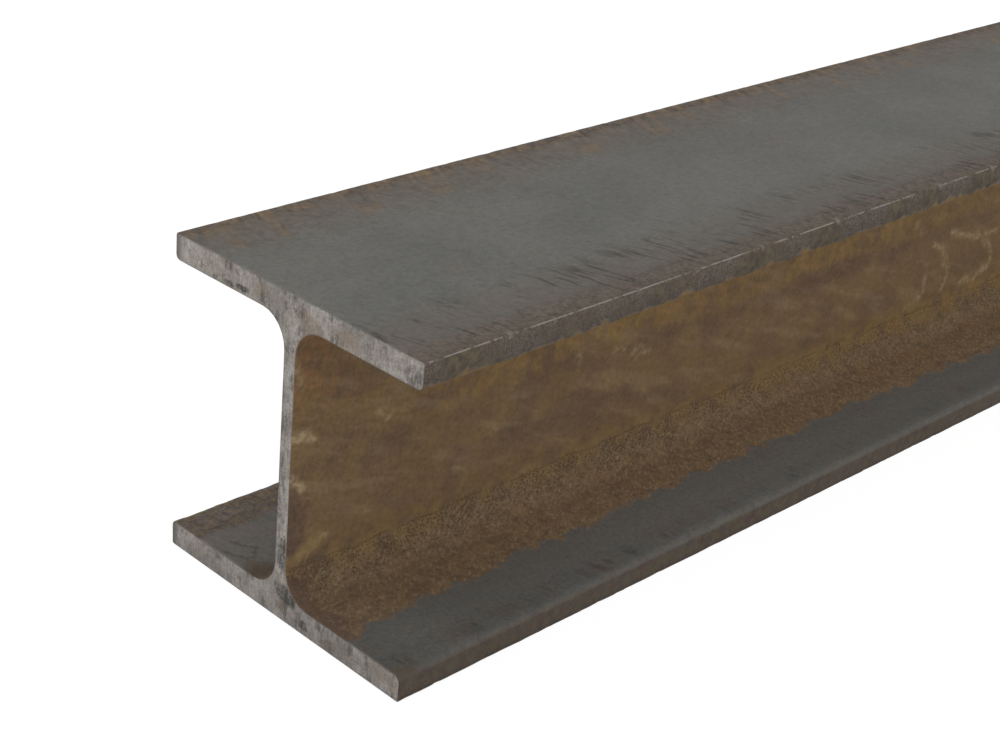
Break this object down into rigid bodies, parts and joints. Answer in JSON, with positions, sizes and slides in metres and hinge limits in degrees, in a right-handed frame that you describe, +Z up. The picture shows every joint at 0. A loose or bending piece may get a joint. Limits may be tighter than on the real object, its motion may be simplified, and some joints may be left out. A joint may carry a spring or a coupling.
{
  "type": "steel h-beam",
  "caption": "Hot-rolled wide-flange steel H-beam lying on one flange, with rounded roots and toes, square sawn ends, mill scale and rust.",
  "frame": {"origin": "middle of the underside of the bottom flange: halfway between the sawn ends and halfway between the toes", "axes": "+X along the beam, from one sawn end to the other; +Y across the flanges; +Z up through the web, from the bottom flange to the top flange"},
  "size_m": [1, 0.16, 0.16],
  "materials": {
    "rolled_steel": "matt blue-grey mill scale with brown rust, both end faces bare and sawn"
  },
  "bodies": {
    "root": {"h_beam": "rolled_steel"}
  },
  "joints": []
}
